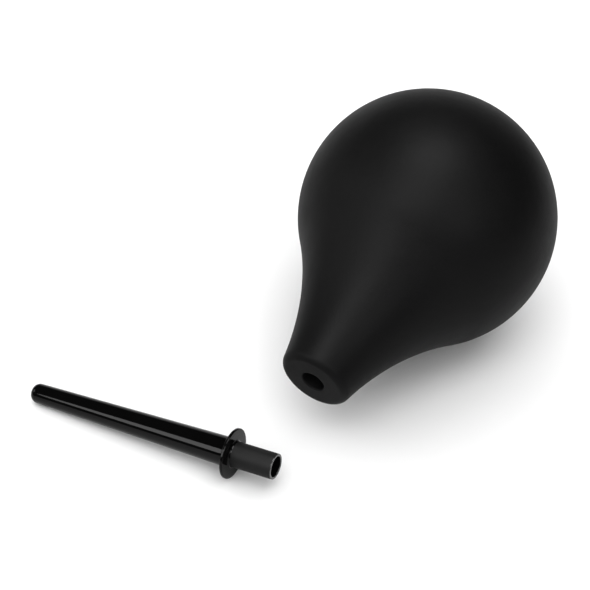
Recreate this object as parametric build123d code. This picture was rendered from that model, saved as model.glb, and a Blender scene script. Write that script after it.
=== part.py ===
from build123d import *
import os
from math import asin, atan2, cos, degrees, hypot, radians, sin, sqrt

# A hand-squeezed rubber bulb, lying on its side, with its push-in nozzle lying loose beside it.
# Millimetres, +Z up, floor at Z = 0. The origin is the middle of the patch the ball stands on.

# ---- bulb: one hollow rubber moulding, round about its own axis ----
BALL_RADIUS = 37.5
WALL = 3.0
NECK_CURVE_RADIUS = 89.2        # hollow sweep from the ball down to the mouth
MOUTH_DISTANCE = 64.8           # from the ball's centre to the mouth's face
MOUTH_RADIUS = 10.1             # where the sweep would meet the face, before its rounding
MOUTH_ROUNDING = 2.3
BORE_RADIUS = 3.35              # the hole in the mouth, a little tighter than the spigot
BORE_LENGTH = 15.0
BORE_EDGE_ROUNDING = 0.4
SHOULDER_ROUNDING = 2.0         # inside, where the cavity closes down to the bore
SAG = 0.65                      # the soft ball flattens this much where it stands
BULB_HEADING = 238.05           # degrees about Z, from +X, of the way the mouth points
BULB_TILT = 12.3                # degrees that the mouth's end hangs below level

# ---- nozzle: one hard plastic moulding, round about its own axis ----
FLANGE_RADIUS = 7.1
FLANGE_THICKNESS = 0.85
FLANGE_EDGE_ROUNDING = 0.25
SPIGOT_RADIUS = 3.6
SPIGOT_LENGTH = 12.7
SPIGOT_BORE_RADIUS = 2.9
SPIGOT_EDGE_ROUNDING = 0.15
TUBE_LENGTH = 64.3
TUBE_RADIUS_AT_FLANGE = 4.15
TUBE_RADIUS_AT_TIP = 2.8
TIP_ROUNDING = 2.0
HUB_ROUNDING = 0.6              # in the corners between the flange and the tube or spigot
OUTLET_RADIUS = 0.75
OUTLET_LENGTH = 2.5
BORE_RADIUS_AT_TIP = 1.5
NOZZLE_PLACE = (-54.8, -65.35)  # middle of the flange's spigot side, seen from above
NOZZLE_HEADING = -25.95         # degrees about Z, from +X, of the way the spigot points


def arc_about(centre, start, end):
    """The short arc from start to end around centre."""
    to_start = Vector(*start) - Vector(*centre)
    to_end = Vector(*end) - Vector(*centre)
    middle = Vector(*centre) + (to_start + to_end).normalized() * to_start.length
    return ThreePointArc(start, middle, end)


def lying_plane(origin, heading, dip):
    """A plane whose X runs along a round piece's axis, dip degrees below level."""
    turn, drop = radians(heading), radians(dip)
    along = Vector(cos(turn) * cos(drop), sin(turn) * cos(drop), -sin(drop))
    across = Vector(-sin(turn), cos(turn), 0)
    return Plane(origin=origin, x_dir=along, z_dir=along.cross(across))


def neck_centre():
    """Centre of the neck's sweep: it touches the ball and ends on the mouth's edge."""
    reach = hypot(MOUTH_DISTANCE, MOUTH_RADIUS)
    far = BALL_RADIUS + NECK_CURVE_RADIUS
    along = (far**2 - NECK_CURVE_RADIUS**2 + reach**2) / (2 * reach)
    off = sqrt(far**2 - along**2)
    ux, uy = MOUTH_DISTANCE / reach, MOUTH_RADIUS / reach
    return (along * ux - off * uy, along * uy + off * ux)


def on_circle(centre, radius, x):
    """The point on the lower side of a circle at x."""
    return (x, centre[1] - sqrt(radius**2 - (x - centre[0]) ** 2))


def ball_and_neck(offset, end):
    """Half outline of the ball and neck, offset inwards, cut square at end, for a revolve."""
    centre = neck_centre()
    ball = BALL_RADIUS - offset
    sweep = NECK_CURVE_RADIUS + offset
    share = ball / (ball + sweep)
    touch = (centre[0] * share, centre[1] * share)
    last = on_circle(centre, sweep, end)
    back, side = (-ball, 0), (0, ball)
    return [
        arc_about((0, 0), back, side),
        arc_about((0, 0), side, touch),
        arc_about(centre, touch, last),
        Line(last, (end, 0)),
        Line((end, 0), back),
    ]


def revolved(outline, roundings):
    """Turn a closed half outline about X, after rounding the corners named by their points."""
    face = make_face(Curve() + outline)
    for point, radius in roundings:
        corner = face.vertices().sort_by_distance(Vector(*point, 0))[0]
        face = fillet(corner, radius)
    return revolve(face, Axis.X, 360)


def above(height):
    """A block that holds everything above a height."""
    size = 4 * BALL_RADIUS
    return Pos(0, 0, height + size / 2) * Box(size, size, size)


def make_bulb(plane):
    shoulder = MOUTH_DISTANCE - BORE_LENGTH
    centre = neck_centre()
    mouth_corner = (MOUTH_DISTANCE, MOUTH_RADIUS)
    shoulder_corner = on_circle(centre, NECK_CURVE_RADIUS + WALL, shoulder)
    skin = revolved(ball_and_neck(0, MOUTH_DISTANCE), [(mouth_corner, MOUTH_ROUNDING)])
    cavity = revolved(ball_and_neck(WALL, shoulder), [(shoulder_corner, SHOULDER_ROUNDING)])
    bore = Pos(MOUTH_DISTANCE - BORE_LENGTH / 2, 0, 0) * Rot(0, 90, 0) * Cylinder(
        BORE_RADIUS, BORE_LENGTH + 2 * WALL
    )
    place = plane.location
    solid = (place * skin) & above(0)
    solid -= (place * cavity) & above(WALL)
    solid -= place * bore
    mouth = (place * Pos(MOUTH_DISTANCE, 0, 0)).position
    lip = solid.edges().filter_by(GeomType.CIRCLE).sort_by_distance(mouth)
    lip = lip.filter_by(lambda edge: abs(edge.radius - BORE_RADIUS) < BORE_EDGE_ROUNDING)[0]
    return fillet(lip, BORE_EDGE_ROUNDING)


def make_nozzle(plane):
    tube_start = -FLANGE_THICKNESS
    tip = tube_start - TUBE_LENGTH
    bore_end = tip + OUTLET_LENGTH
    points = {
        "outlet": (tip, OUTLET_RADIUS),
        "tip": (tip, TUBE_RADIUS_AT_TIP),
        "tube_hub": (tube_start, TUBE_RADIUS_AT_FLANGE),
        "flange_back": (tube_start, FLANGE_RADIUS),
        "flange_front": (0, FLANGE_RADIUS),
        "spigot_hub": (0, SPIGOT_RADIUS),
        "spigot_outer": (SPIGOT_LENGTH, SPIGOT_RADIUS),
        "spigot_inner": (SPIGOT_LENGTH, SPIGOT_BORE_RADIUS),
        "bore_hub": (0, SPIGOT_BORE_RADIUS),
        "bore_tip": (bore_end, BORE_RADIUS_AT_TIP),
        "outlet_root": (bore_end, OUTLET_RADIUS),
    }
    roundings = {
        "tip": TIP_ROUNDING,
        "tube_hub": HUB_ROUNDING,
        "flange_back": FLANGE_EDGE_ROUNDING,
        "flange_front": FLANGE_EDGE_ROUNDING,
        "spigot_hub": HUB_ROUNDING,
        "spigot_outer": SPIGOT_EDGE_ROUNDING,
        "spigot_inner": SPIGOT_EDGE_ROUNDING,
    }
    outline = Polyline(*points.values(), close=True).edges()
    rounded = [(points[corner], radius) for corner, radius in roundings.items()]
    return plane.location * revolved(outline, rounded)


def nozzle_rise():
    """Degrees that the spigot points up: the nozzle lies on its flange's rim and its tip."""
    taper = (TUBE_RADIUS_AT_FLANGE - TUBE_RADIUS_AT_TIP) / TUBE_LENGTH
    tip_centre = TUBE_RADIUS_AT_TIP - TIP_ROUNDING * (hypot(1, taper) - taper)
    rim_centre = FLANGE_RADIUS - FLANGE_EDGE_ROUNDING
    run = TUBE_LENGTH + FLANGE_EDGE_ROUNDING - TIP_ROUNDING
    drop = rim_centre - tip_centre
    wedge = asin((TIP_ROUNDING - FLANGE_EDGE_ROUNDING) / hypot(run, drop))
    return degrees(atan2(drop, run) - wedge)


def nozzle_height():
    """Height of the flange face's middle, with the lowest point of its rim on the floor."""
    rise = radians(nozzle_rise())
    rim_centre = FLANGE_RADIUS - FLANGE_EDGE_ROUNDING
    back = FLANGE_THICKNESS - FLANGE_EDGE_ROUNDING
    return rim_centre * cos(rise) + back * sin(rise) + FLANGE_EDGE_ROUNDING


bulb_plane = lying_plane((0, 0, BALL_RADIUS - SAG), BULB_HEADING, BULB_TILT)
nozzle_plane = lying_plane((*NOZZLE_PLACE, nozzle_height()), NOZZLE_HEADING, -nozzle_rise())

parts = {
    "bulb": make_bulb(bulb_plane),
    "nozzle": make_nozzle(nozzle_plane),
}

os.makedirs("parts", exist_ok=True)
for name, shape in parts.items():
    shape.label = name
    export_step(shape, f"parts/{name}.step")
    box = shape.bounding_box()
    print(name, f"{shape.volume:.1f} mm3", box.min, box.max)
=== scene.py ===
import math

import bpy
import numpy as np
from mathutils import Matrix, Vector


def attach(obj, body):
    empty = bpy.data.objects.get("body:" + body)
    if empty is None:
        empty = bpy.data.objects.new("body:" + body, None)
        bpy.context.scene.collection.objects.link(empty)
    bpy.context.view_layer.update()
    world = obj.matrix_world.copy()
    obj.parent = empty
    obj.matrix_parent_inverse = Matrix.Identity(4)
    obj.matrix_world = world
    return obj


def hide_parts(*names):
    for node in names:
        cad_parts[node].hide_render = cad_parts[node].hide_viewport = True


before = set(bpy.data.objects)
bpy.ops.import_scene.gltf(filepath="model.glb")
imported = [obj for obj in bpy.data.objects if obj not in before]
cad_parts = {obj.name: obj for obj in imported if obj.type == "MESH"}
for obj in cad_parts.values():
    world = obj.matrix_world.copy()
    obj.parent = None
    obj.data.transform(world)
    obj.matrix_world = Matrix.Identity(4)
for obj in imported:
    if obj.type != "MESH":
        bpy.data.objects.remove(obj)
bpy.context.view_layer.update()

# A rubber squeeze bulb lying on its side, with its push-in nozzle lying loose beside it.
# Metres, +Z up, floor at Z = 0. The origin is the middle of the patch the ball stands on.
MM = 0.001
FULL_TURN = 2 * math.pi

# ---- sizes, in millimetres, as the CAD model has them ----
BALL_RADIUS = 37.5
WALL = 3.0
NECK_CURVE_RADIUS = 89.2
MOUTH_DISTANCE = 64.8
MOUTH_RADIUS = 10.1
MOUTH_ROUNDING = 2.3
BORE_RADIUS = 3.35
BORE_LENGTH = 15.0
BORE_EDGE_ROUNDING = 0.4
SHOULDER_ROUNDING = 2.0
SAG = 0.65
BULB_HEADING = 238.05
BULB_TILT = 12.3

FLANGE_RADIUS = 7.1
FLANGE_THICKNESS = 0.85
FLANGE_EDGE_ROUNDING = 0.25
SPIGOT_RADIUS = 3.6
SPIGOT_LENGTH = 12.7
SPIGOT_BORE_RADIUS = 2.9
SPIGOT_EDGE_ROUNDING = 0.15
TUBE_LENGTH = 64.3
TUBE_RADIUS_AT_FLANGE = 4.15
TUBE_RADIUS_AT_TIP = 2.8
TIP_ROUNDING = 2.0
HUB_ROUNDING = 0.6
OUTLET_RADIUS = 0.75
OUTLET_LENGTH = 2.5
BORE_RADIUS_AT_TIP = 1.5
NOZZLE_PLACE = (-54.8, -65.35)
NOZZLE_HEADING = -25.95

# ---- sizes that only the finished surfaces have, in millimetres ----
SKIN_ROLL = 0.12                  # how softly the ball's skin rolls on to its flat patch
OUTLET_ROUNDING = 0.15
SATIN_START = 0.9                 # the hub's corner stays gloss, then the spigot is satin
# the third slot is a painted highlight: a lighter, more reflective finish on the spigot's end ring
GLOSS, SATIN, PAINTED_HIGHLIGHT = 0, 1, 2    # the nozzle's material slots

# ---- how finely the surfaces are divided ----
BULB_SEGMENTS = 256               # round each ring
NOZZLE_SEGMENTS = 144
OUTER_STEPS = 84                  # along each long arc of the bulb's outside
INNER_STEPS = 40                  # and of its cavity
LIP_STEPS = 20                    # round the mouth's outer edge
SMALL_CORNER_STEPS = 8
FLAT_STEPS = 12                   # across the mouth's face, and along its bore
SHOULDER_STEPS = 6                # across the step between bore and cavity
SPAN_ALONG_NOZZLE = 1.6           # millimetres between rings on its straight stretches

# ---- the studio: metres, degrees and watts per square metre and steradian ----
PAPER_ACROSS = (-1.5, 0.3)
PAPER_ALONG = (-1.5, 3.0)
STUDIO_MIDDLE = (-0.03, -0.05, 0.02)
SOFTBOX_DISTANCE = 1.0
ROOM_RADIANCE = 0.025
WALL_RADIANCE = 1.05
DISPLAY_GAMMA = 0.85
CAMERA_PLACE = (-0.0383, -0.3526, 0.3145)
CAMERA_ELEVATION = 41.06
CAMERA_LENS = 94.14               # millimetres, on a sensor as wide as the next line says
CAMERA_SENSOR = 36.0


# ---- outlines: lists of points (along the axis, out from the axis) ----
def arc(centre, start, end, steps):
    """Points on the short arc from start to end about centre: the angle runs evenly."""
    centre, start, end = (np.asarray(p, float) for p in (centre, start, end))
    first = np.arctan2(*(start - centre)[::-1])
    turn = np.arctan2(*(end - centre)[::-1]) - first
    turn = (turn + math.pi) % FULL_TURN - math.pi
    angle = first + turn * np.linspace(0, 1, steps + 1)
    radius = np.linalg.norm(start - centre)
    return centre + radius * np.stack([np.cos(angle), np.sin(angle)], -1)


def straight(start, end, steps):
    """Points spaced evenly from start to end."""
    share = np.linspace(0, 1, steps + 1)[:, None]
    return np.asarray(start) * (1 - share) + np.asarray(end) * share


def rounded_corner(before, corner, after, radius, steps):
    """The arc of that radius that touches both sides of a corner: its ends lie radius
    over the tangent of half the corner's angle from the corner, along each side."""
    before, corner, after = (np.asarray(p, float) for p in (before, corner, after))
    back = (before - corner) / np.linalg.norm(before - corner)
    on = (after - corner) / np.linalg.norm(after - corner)
    half = math.acos(np.clip(back @ on, -1, 1)) / 2
    reach = radius / math.tan(half)
    middle = (back + on) / np.linalg.norm(back + on)
    centre = corner + middle * radius / math.sin(half)
    return arc(centre, corner + back * reach, corner + on * reach, steps)


def joined(*runs):
    """Runs of points end to end, with doubled points dropped."""
    points = np.concatenate(runs)
    gap = np.linalg.norm(np.diff(points, axis=0), axis=1)
    return points[np.r_[True, gap > 1e-6]]


def on_circle(centre, radius, x):
    """The point on the lower side of a circle at x."""
    return np.array([x, centre[1] - math.sqrt(radius**2 - (x - centre[0]) ** 2)])


def neck_centre():
    """Centre of the neck's sweep: it touches the ball and ends on the mouth's edge."""
    reach = math.hypot(MOUTH_DISTANCE, MOUTH_RADIUS)
    far = BALL_RADIUS + NECK_CURVE_RADIUS
    along = (far**2 - NECK_CURVE_RADIUS**2 + reach**2) / (2 * reach)
    off = math.sqrt(far**2 - along**2)
    ux, uy = MOUTH_DISTANCE / reach, MOUTH_RADIUS / reach
    return np.array([along * ux - off * uy, along * uy + off * ux])


def ball_and_neck(offset, end, steps):
    """Ball arc, then the neck's hollow sweep, offset inwards, as far as end."""
    centre = neck_centre()
    ball, sweep = BALL_RADIUS - offset, NECK_CURVE_RADIUS + offset
    touch = centre * ball / (ball + sweep)
    side = (0.0, ball)
    return [
        arc((0, 0), (-ball, 0), side, steps),
        arc((0, 0), side, touch, steps // 2),
        arc(centre, touch, on_circle(centre, sweep, end), steps),
    ]


def bulb_outline():
    """Out along the ball and neck, over the mouth's rounding, in through the bore, and
    back round the cavity to its own pole."""
    shoulder = MOUTH_DISTANCE - BORE_LENGTH
    *ball, neck = ball_and_neck(0, MOUTH_DISTANCE, OUTER_STEPS)
    face = (MOUTH_DISTANCE, 0)
    lip = rounded_corner(neck[-2], neck[-1], face, MOUTH_ROUNDING, LIP_STEPS)
    neck = neck[neck[:, 0] < lip[0, 0]]
    hole, root = (MOUTH_DISTANCE, BORE_RADIUS), (shoulder, BORE_RADIUS)
    edge = rounded_corner(lip[-1], hole, root, BORE_EDGE_ROUNDING, SMALL_CORNER_STEPS)
    *inner_ball, inner_neck = ball_and_neck(WALL, shoulder, INNER_STEPS)
    turn = rounded_corner(root, inner_neck[-1], inner_neck[-2], SHOULDER_ROUNDING,
                          SMALL_CORNER_STEPS)
    inner_neck = inner_neck[inner_neck[:, 0] < turn[-1, 0]]
    return joined(
        *ball,
        neck,
        lip,
        straight(lip[-1], edge[0], FLAT_STEPS),
        edge,
        straight(edge[-1], root, FLAT_STEPS),
        straight(root, turn[0], SHOULDER_STEPS),
        turn,
        inner_neck[::-1],
        inner_ball[1][::-1],
        inner_ball[0][::-1],
    )


# ---- turning an outline into a mesh ----
def axes_of(heading, dip):
    """Unit vectors along a round piece's axis, level across it, and square to both. The
    axis points heading degrees round from +X and dip degrees below level."""
    turn, drop = math.radians(heading), math.radians(dip)
    level = math.cos(drop)
    along = np.array([math.cos(turn) * level, math.sin(turn) * level, -math.sin(drop)])
    across = np.array([-math.sin(turn), math.cos(turn), 0.0])
    return along, across, np.cross(along, across)


def turned(outline, segments, closed):
    """A surface of revolution about X: the outline point (x, r) becomes the ring
    (x, r cos a, r sin a). A closed outline joins its last ring to its first; an open one
    has both ends on the axis, each a single vertex with a fan of triangles."""
    angle = np.linspace(0, FULL_TURN, segments, endpoint=False)
    rings = outline if closed else outline[1:-1]
    count = len(rings)
    verts = np.empty((count, segments, 3))
    verts[..., 0] = rings[:, :1]
    verts[..., 1] = rings[:, 1:] * np.cos(angle)
    verts[..., 2] = rings[:, 1:] * np.sin(angle)
    verts = verts.reshape(-1, 3)
    spans = count if closed else count - 1
    row, col = np.meshgrid(np.arange(spans), np.arange(segments), indexing="ij")
    row, col = row.ravel(), col.ravel()
    next_row, next_col = (row + 1) % count, (col + 1) % segments
    here_row, next_row = row * segments, next_row * segments
    quads = np.stack([here_row + col, here_row + next_col, next_row + next_col, next_row + col], -1)
    if closed:
        return verts, quads.tolist()
    poles = np.stack([outline[[0, -1], 0], np.zeros(2), np.zeros(2)], -1)
    here = np.arange(segments)
    after = (here + 1) % segments
    last = (count - 1) * segments
    first_fan = np.stack([np.full(segments, len(verts)), after, here], -1)
    last_fan = np.stack([np.full(segments, len(verts) + 1), last + here, last + after], -1)
    faces = quads.tolist() + first_fan.tolist() + last_fan.tolist()
    return np.concatenate([verts, poles]), faces


def placed(verts, origin, axes):
    """A piece's own (x, y, z) to its place: origin + x along + y across + z up."""
    return np.asarray(origin) + verts @ np.stack(axes)


def new_piece(name, verts, faces, body, node):
    """A smooth mesh object from millimetre vertices, standing for one CAD node."""
    mesh = bpy.data.meshes.new(name)
    mesh.from_pydata((verts * MM).tolist(), [], faces)
    mesh.polygons.foreach_set("use_smooth", np.ones(len(mesh.polygons), bool))
    mesh.update()
    piece = bpy.data.objects.new(name, mesh)
    bpy.context.scene.collection.objects.link(piece)
    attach(piece, body)
    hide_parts(node)
    return piece


def nozzle_outline():
    """A closed run from the outlet out round the rounded tip, up the tapered tube, over the
    flange, along the spigot, and back through the bore."""
    back = -FLANGE_THICKNESS
    tip = back - TUBE_LENGTH
    bore_end = tip + OUTLET_LENGTH
    # each corner's place, its rounding, and the steps round that
    corners = [
        ((tip, OUTLET_RADIUS), OUTLET_ROUNDING, 4),
        ((tip, TUBE_RADIUS_AT_TIP), TIP_ROUNDING, 20),
        ((back, TUBE_RADIUS_AT_FLANGE), HUB_ROUNDING, 8),
        ((back, FLANGE_RADIUS), FLANGE_EDGE_ROUNDING, 8),
        ((0.0, FLANGE_RADIUS), FLANGE_EDGE_ROUNDING, 8),
        ((0.0, SPIGOT_RADIUS), HUB_ROUNDING, 8),
        ((SPIGOT_LENGTH, SPIGOT_RADIUS), SPIGOT_EDGE_ROUNDING, 6),
        ((SPIGOT_LENGTH, SPIGOT_BORE_RADIUS), SPIGOT_EDGE_ROUNDING, 6),
        ((0.0, SPIGOT_BORE_RADIUS), 0.0, 1),
        ((bore_end, BORE_RADIUS_AT_TIP), 0.0, 1),
        ((bore_end, OUTLET_RADIUS), 0.0, 1),
    ]
    places = [c[0] for c in corners]
    runs = []
    for n, (corner, radius, steps) in enumerate(corners):
        before, after = places[n - 1], places[(n + 1) % len(places)]
        if radius:
            runs.append(rounded_corner(before, corner, after, radius, steps))
        else:
            runs.append(np.array([corner], float))
    filled = []
    for n, run in enumerate(runs):
        onward = runs[(n + 1) % len(runs)][0]
        steps = max(2, int(np.linalg.norm(onward - run[-1]) / SPAN_ALONG_NOZZLE))
        filled += [run, straight(run[-1], onward, steps)[1:-1]]
    return joined(*filled)


# ---- making the two pieces ----
def settled(verts, floor, softness):
    """The ball's soft skin where it stands: heights under floor become floor, with a
    parabola of half-width softness between, so the skin rolls on to its flat patch."""
    lift = verts[:, 2] - floor
    eased = np.where(lift > softness, lift,
                     np.where(lift < -softness, 0, (lift + softness) ** 2 / (4 * softness)))
    verts[:, 2] = floor + eased
    return verts


def make_bulb():
    """The hollow rubber moulding: its outline turned about its axis, laid down with the
    mouth low, and flattened where it stands, outside and inside alike. The outside runs as
    far as the bore, and the two poles come last, the outer one first."""
    outline = bulb_outline()
    verts, faces = turned(outline, BULB_SEGMENTS, closed=False)
    verts = placed(verts, (0, 0, BALL_RADIUS - SAG), axes_of(BULB_HEADING, BULB_TILT))
    outer_rings = int(np.argmin(np.abs(outline[:, 1] - BORE_RADIUS))) * BULB_SEGMENTS
    inner = np.ones(len(verts), bool)
    inner[:outer_rings] = False
    inner[-2:] = (False, True)
    verts[~inner] = settled(verts[~inner], 0.0, SKIN_ROLL)
    verts[inner] = settled(verts[inner], WALL, SKIN_ROLL)
    return new_piece("rubber_bulb", verts, faces, "bulb", "bulb")


def nozzle_rise():
    """Degrees that the spigot points up: the nozzle lies on its flange's rim and its tip."""
    taper = (TUBE_RADIUS_AT_FLANGE - TUBE_RADIUS_AT_TIP) / TUBE_LENGTH
    tip_centre = TUBE_RADIUS_AT_TIP - TIP_ROUNDING * (math.hypot(1, taper) - taper)
    drop = FLANGE_RADIUS - FLANGE_EDGE_ROUNDING - tip_centre
    run = TUBE_LENGTH + FLANGE_EDGE_ROUNDING - TIP_ROUNDING
    wedge = math.asin((TIP_ROUNDING - FLANGE_EDGE_ROUNDING) / math.hypot(run, drop))
    return math.degrees(math.atan2(drop, run) - wedge)


def nozzle_height(rise):
    """Height of the flange face's middle, with the lowest point of its rim on the floor."""
    rim_centre = FLANGE_RADIUS - FLANGE_EDGE_ROUNDING
    back = FLANGE_THICKNESS - FLANGE_EDGE_ROUNDING
    tilt = math.radians(rise)
    return rim_centre * math.cos(tilt) + back * math.sin(tilt) + FLANGE_EDGE_ROUNDING


def make_nozzle():
    """The hard moulding: gloss all over, but satin along the outside of its spigot, and a
    painted highlight round the spigot's end: a lighter, more reflective finish there."""
    outline = nozzle_outline()
    verts, faces = turned(outline, NOZZLE_SEGMENTS, closed=True)
    rise = nozzle_rise()
    place = (*NOZZLE_PLACE, nozzle_height(rise))
    laid = placed(verts, place, axes_of(NOZZLE_HEADING, -rise))
    piece = new_piece("push_in_nozzle", laid, faces, "nozzle", "nozzle")
    following = np.roll(outline, -1, axis=0)
    middle = (outline + following) / 2
    # the spigot's end ring, which gets the painted highlight finish
    painted_highlight_ring = middle[:, 0] > SPIGOT_LENGTH - SPIGOT_EDGE_ROUNDING
    outside = middle[:, 1] > (SPIGOT_RADIUS + SPIGOT_BORE_RADIUS) / 2
    satin = outside & (middle[:, 0] > SATIN_START) & ~painted_highlight_ring
    finish = np.where(painted_highlight_ring, PAINTED_HIGHLIGHT, np.where(satin, SATIN, GLOSS)).astype(np.int32)
    piece.data.polygons.foreach_set("material_index", np.repeat(finish, NOZZLE_SEGMENTS))
    return piece


# ---- materials ----
class Finish:
    """A material's node tree, with short ways to add and join nodes."""

    def __init__(self, name):
        self.material = bpy.data.materials.new(name)
        self.material.use_nodes = True
        self.tree = self.material.node_tree
        self.shader = self.tree.nodes["Principled BSDF"]
        self.place = self.tree.nodes.new("ShaderNodeTexCoord").outputs["Object"]

    def add(self, kind, **settings):
        node = self.tree.nodes.new(kind)
        for key, value in settings.items():
            if key in node.inputs:
                node.inputs[key].default_value = value
            else:
                setattr(node, key, value)
        return node

    def join(self, output, socket):
        self.tree.links.new(output, socket)

    def noise(self, scale, detail=3.0, roughness=0.55, place=None):
        """Noise at scale cells per metre, on Object coordinates unless told."""
        node = self.add("ShaderNodeTexNoise", Scale=scale, Detail=detail, Roughness=roughness)
        self.join(place or self.place, node.inputs["Vector"])
        return node.outputs["Fac"]

    def spread(self, value, low, high, start=0.3, end=0.7):
        """A number carried from start..end on to low..high."""
        node = self.add("ShaderNodeMapRange", clamp=True)
        node.inputs["From Min"].default_value = start
        node.inputs["From Max"].default_value = end
        node.inputs["To Min"].default_value = low
        node.inputs["To Max"].default_value = high
        self.join(value, node.inputs["Value"])
        return node.outputs["Result"]

    def sum(self, first, second):
        node = self.add("ShaderNodeMath", operation="ADD")
        self.join(first, node.inputs[0])
        self.join(second, node.inputs[1])
        return node.outputs["Value"]

    def tint(self, value, dark, light):
        """A colour between dark and light, by value."""
        node = self.add("ShaderNodeMix", data_type="RGBA")
        self.join(value, node.inputs["Factor"])
        node.inputs["A"].default_value = (*dark, 1)
        node.inputs["B"].default_value = (*light, 1)
        return node.outputs["Result"]

    def bump(self, height, distance, strength, under=None):
        """The surface's normal, tilted by a height that is distance metres from 0 to 1."""
        node = self.add("ShaderNodeBump", Distance=distance, Strength=strength)
        self.join(height, node.inputs["Height"])
        if under is not None:
            self.join(under, node.inputs["Normal"])
        return node.outputs["Normal"]

    def along(self, heading, stretch):
        """Object coordinates turned to run along heading, and drawn out stretch times."""
        turned_place = self.add("ShaderNodeMapping", vector_type="TEXTURE")
        turned_place.inputs["Rotation"].default_value = (0, 0, math.radians(heading))
        self.join(self.place, turned_place.inputs["Vector"])
        drawn_out = self.add("ShaderNodeMapping")
        drawn_out.inputs["Scale"].default_value = (1 / stretch, 1, 1)
        self.join(turned_place.outputs["Vector"], drawn_out.inputs["Vector"])
        return drawn_out.outputs["Vector"]

    def surface(self, colour, roughness, normal, **constants):
        """Join what varies to the shader, and set what is the same all over on its sockets."""
        self.join(colour, self.shader.inputs["Base Color"])
        self.join(roughness, self.shader.inputs["Roughness"])
        self.join(normal, self.shader.inputs["Normal"])
        self.set(**constants)

    def set(self, **constants):
        for key, value in constants.items():
            self.shader.inputs[key.replace("_", " ")].default_value = value


def bulb_rubber():
    """Soft matt black rubber: a fine moulded grain, a very slight unevenness of the skin, and
    patches where handling has polished it."""
    rubber = Finish("matt_black_rubber")
    patches = rubber.noise(scale=55, detail=4)
    grain = rubber.noise(scale=2600, detail=2)
    unevenness = rubber.noise(scale=140, detail=2)
    lightness = rubber.sum(rubber.spread(patches, 0, 0.6), rubber.spread(grain, 0, 0.4))
    black = rubber.tint(lightness, dark=(0.0030, 0.0030, 0.0032), light=(0.0046, 0.0045, 0.0045))
    roughness = rubber.sum(rubber.spread(patches, 0.49, 0.56), rubber.spread(grain, -0.02, 0.03))
    skin = rubber.bump(unevenness, distance=0.0004, strength=0.25)
    skin = rubber.bump(grain, distance=0.00006, strength=0.5, under=skin)
    rubber.surface(black, roughness, skin, IOR=1.43, Specular_IOR_Level=0.15)
    return rubber.material


def nozzle_plastic(name, shade, smooth, rough, grain_depth, gloss):
    """Hard black plastic, as dark as its shade: its roughness runs from smooth to rough with
    smears and with fine hairlines along the tube, over a faint moulding ripple and a grain."""
    plastic = Finish(name)
    hairlines = plastic.noise(scale=2500, detail=2, place=plastic.along(NOZZLE_HEADING, stretch=25))
    smears = plastic.noise(scale=160, detail=4)
    waves = plastic.noise(scale=260, detail=1)
    grain = plastic.noise(scale=4200, detail=2)
    black = plastic.tint(smears, dark=(shade * 0.8,) * 3, light=(shade * 1.2,) * 3)
    middle, half = (smooth + rough) / 2, (rough - smooth) / 2
    roughness = plastic.sum(plastic.spread(smears, smooth, middle),
                            plastic.spread(hairlines, 0, half, start=0.5, end=0.8))
    skin = plastic.bump(waves, distance=0.0001, strength=0.14)
    skin = plastic.bump(grain, distance=0.00004, strength=grain_depth, under=skin)
    plastic.surface(black, roughness, skin, IOR=1.5, Specular_IOR_Level=gloss)
    return plastic.material


# ---- the studio ----
def floor_paper():
    """Pale matt paper, very slightly uneven in tone."""
    paper = Finish("pale_floor")
    pale = paper.tint(paper.noise(scale=30, detail=3), dark=(0.74,) * 3, light=(0.76,) * 3)
    paper.join(pale, paper.shader.inputs["Base Color"])
    paper.set(Roughness=0.95, IOR=1.2)
    return paper.material


def make_floor():
    """A sheet of paper: it runs well back and out to the left, and stops short on the right."""
    (left, right), (front, back) = PAPER_ACROSS, PAPER_ALONG
    mesh = bpy.data.meshes.new("paper_floor")
    corners = [(left, front, 0), (right, front, 0), (right, back, 0), (left, back, 0)]
    mesh.from_pydata(corners, [], [(0, 1, 2, 3)])
    floor = bpy.data.objects.new("paper_floor", mesh)
    bpy.context.scene.collection.objects.link(floor)
    floor.data.materials.append(floor_paper())


def aimed(obj, place, target):
    """Put a light at place, turned to shine on target."""
    obj.location = place
    obj.rotation_euler = (Vector(target) - Vector(place)).to_track_quat("-Z", "Y").to_euler()
    bpy.context.scene.collection.objects.link(obj)
    return obj


def towards(heading, elevation):
    """The unit vector that points heading degrees round from +X, elevation degrees up."""
    turn, up = math.radians(heading), math.radians(elevation)
    return Vector((math.cos(turn) * math.cos(up), math.sin(turn) * math.cos(up), math.sin(up)))


def wide_sky(name, heading, elevation, angle, radiance):
    """A round patch of sky, so the floor is as pale far off as it is near: a sun whose power
    is pi times its radiance times the squared sine of half its angle. It lights the floor
    and the pieces and leaves no reflection in their gloss."""
    light = bpy.data.lights.new(name, "SUN")
    light.angle = math.radians(angle)
    light.energy = math.pi * radiance * math.sin(light.angle / 2) ** 2
    sky = aimed(bpy.data.objects.new(name, light), towards(heading, elevation), (0, 0, 0))
    sky.visible_glossy = False


def softbox(name, heading, elevation, size, radiance):
    """A round or oval softbox that faces the pieces and is seen only in their gloss. Its
    power is pi times its radiance times its area."""
    light = bpy.data.lights.new(name, "AREA")
    light.shape = "ELLIPSE"
    light.size, light.size_y = size
    light.energy = math.pi * radiance * math.pi / 4 * size[0] * size[1]
    place = Vector(STUDIO_MIDDLE) + SOFTBOX_DISTANCE * towards(heading, elevation)
    box = aimed(bpy.data.objects.new(name, light), place, STUDIO_MIDDLE)
    box.visible_diffuse = False


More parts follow.
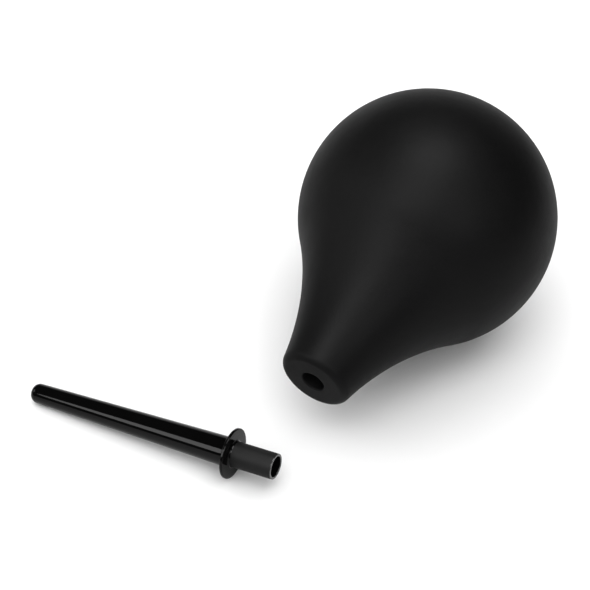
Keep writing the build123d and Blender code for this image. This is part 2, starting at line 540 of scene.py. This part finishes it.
def dim_room():
    """A dim studio that lights and reflects very little, with a far wall that looks pale."""
    world = bpy.data.worlds.new("dim_room")
    world.use_nodes = True
    tree = world.node_tree
    back = tree.nodes["Background"]
    back.inputs["Color"].default_value = (1, 1, 1, 1)
    seen = tree.nodes.new("ShaderNodeLightPath").outputs["Is Camera Ray"]
    level = tree.nodes.new("ShaderNodeMapRange")
    level.inputs["To Min"].default_value = ROOM_RADIANCE
    level.inputs["To Max"].default_value = WALL_RADIANCE
    tree.links.new(seen, level.inputs["Value"])
    tree.links.new(level.outputs["Result"], back.inputs["Strength"])
    bpy.context.scene.world = world


def make_camera():
    """Above and in front of the bulb, turned down on it."""
    camera = bpy.data.cameras.new("camera")
    camera.sensor_width = CAMERA_SENSOR
    camera.lens = CAMERA_LENS
    obj = bpy.data.objects.new("camera", camera)
    obj.location = CAMERA_PLACE
    obj.rotation_euler = (math.radians(90 - CAMERA_ELEVATION), 0, 0)
    bpy.context.scene.collection.objects.link(obj)
    bpy.context.scene.camera = obj


bulb = make_bulb()
bulb.data.materials.append(bulb_rubber())
nozzle = make_nozzle()
for finish in (
    nozzle_plastic("gloss_black_plastic", 0.0026, smooth=0.05, rough=0.11, grain_depth=0.05, gloss=0.2),
    nozzle_plastic("satin_black_plastic", 0.008, smooth=0.52, rough=0.60, grain_depth=0.5, gloss=0.2),
    # a painted highlight on the spigot's end ring: a lighter shade with full reflection
    nozzle_plastic("painted_highlight_black_plastic", 0.03, smooth=0.2, rough=0.3, grain_depth=0.1, gloss=1.0),
):
    nozzle.data.materials.append(finish)

make_floor()
wide_sky("overhead_sky", heading=112, elevation=68, angle=105, radiance=1.75)
wide_sky("front_fill", heading=275, elevation=38, angle=90, radiance=2.1)
softbox("top_softbox", heading=60, elevation=84, size=(0.62, 0.62), radiance=11.5)
softbox("left_softbox", heading=217, elevation=32, size=(0.56, 0.56), radiance=6.5)
softbox("side_softbox", heading=172, elevation=26, size=(0.44, 0.44), radiance=4.5)
softbox("front_softbox", heading=240, elevation=58, size=(0.4, 0.4), radiance=14.0)
softbox("right_softbox", heading=304, elevation=36, size=(0.45, 0.45), radiance=6.0)
softbox("back_glow", heading=90, elevation=8, size=(2.4, 0.34), radiance=1.0)
dim_room()
make_camera()
bpy.context.scene.view_settings.view_transform = "Standard"
bpy.context.scene.view_settings.gamma = DISPLAY_GAMMA
